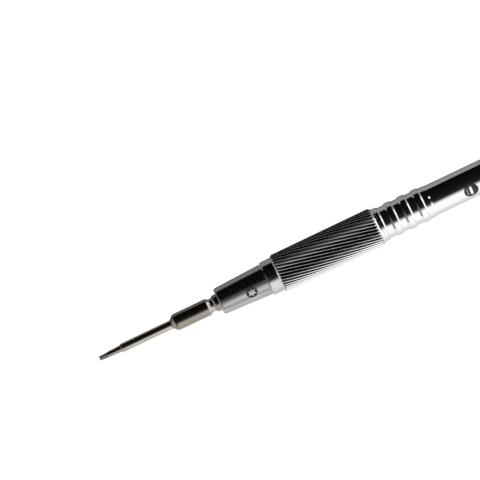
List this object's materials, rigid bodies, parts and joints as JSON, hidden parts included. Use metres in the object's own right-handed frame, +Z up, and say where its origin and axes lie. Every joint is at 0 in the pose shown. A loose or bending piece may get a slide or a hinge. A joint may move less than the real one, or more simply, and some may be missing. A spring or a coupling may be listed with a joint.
{
  "type": "pocket screwdriver",
  "caption": "Pen-shaped precision screwdriver: collet nose clamping a double-ended bit, fluted grip, hollow barrel storing a second bit, pocket clip and swivel cap.",
  "frame": {"origin": "centre of the end of the star tip, on the tool's axis", "axes": "+X along the tool's axis towards the cap, +Z up as the tool lies on a table with the clip low on its -Y side"},
  "size_m": [0.146, 0.0105, 0.0092],
  "materials": {
    "nickel_bit": "satin nickel plate",
    "satin_chrome": "satin chrome",
    "bright_chrome": "polished chrome",
    "steel": "bare steel",
    "enamel": "gloss black enamel",
    "nylon": "natural nylon",
    "brass": "stamped brass",
    "rubber": "matt black rubber"
  },
  "bodies": {
    "handle": {"chuck_body": "satin_chrome", "grip_sleeve": "bright_chrome", "barrel": "bright_chrome", "flat_mark": "enamel", "bit_sleeve": "nylon", "spare_bit": "nickel_bit", "collet_spring": "steel", "magazine_spring": "steel"},
    "collet": {"collet": "steel"},
    "nose": {"nose_cone": "satin_chrome", "star_mark": "enamel"},
    "bit": {"star_bit": "nickel_bit"},
    "clip_mount": {"clip_collar": "bright_chrome", "clip_pin": "steel", "clip_spring": "steel"},
    "clip": {"clip_arm": "bright_chrome"},
    "tail": {"tail_plug": "bright_chrome", "tail_o_ring": "rubber", "swivel_screw": "steel"},
    "cap": {"swivel_cap": "bright_chrome", "cap_disc": "satin_chrome"},
    "balls": {"swivel_balls": "steel", "ball_cage": "brass"}
  },
  "joints": [
    {"name": "nose_travel", "type": "slide", "parent": "handle", "child": "collet", "axis": [-1, 0, 0], "range_m": [0, 0.0015], "deforming": ["collet_spring"]},
    {"name": "nose_turn", "type": "hinge", "parent": "collet", "child": "nose", "pos_m": [0.036, 0, 0], "axis": [-1, 0, 0], "range_deg": [0, 1081]},
    {"name": "bit_slide", "type": "slide", "parent": "handle", "child": "bit", "axis": [-1, 0, 0], "range_m": [0, 0.04]},
    {"name": "tail_travel", "type": "slide", "parent": "handle", "child": "clip_mount", "axis": [1, 0, 0], "range_m": [0, 0.0045], "deforming": ["magazine_spring"]},
    {"name": "tail_turn", "type": "hinge", "parent": "clip_mount", "child": "tail", "pos_m": [0.136, 0, 0], "axis": [1, 0, 0], "range_deg": [0, 2161]},
    {"name": "clip_flex", "type": "hinge", "parent": "clip_mount", "child": "clip", "pos_m": [0.13025, -0.00433, -0.0025], "axis": [0, -0.5, 0.866], "range_deg": [0, 6], "stiffness_Nm_per_rad": 0.03, "springref_deg": -11.46, "deforming": ["clip_spring"]},
    {"name": "cap_swivel", "type": "hinge", "parent": "tail", "child": "cap", "pos_m": [0.142, 0, 0], "axis": [1, 0, 0], "continuous": true},
    {"name": "ball_orbit", "type": "hinge", "parent": "tail", "child": "balls", "pos_m": [0.13735, 0, 0], "axis": [1, 0, 0], "continuous": true}
  ],
  "couplings": [
    {"joint": "nose_turn", "follows": "nose_travel", "rad_per_m": 12566},
    {"joint": "tail_turn", "follows": "tail_travel", "rad_per_m": 8377.6},
    {"joint": "ball_orbit", "follows": "cap_swivel", "ratio": 0.5}
  ]
}
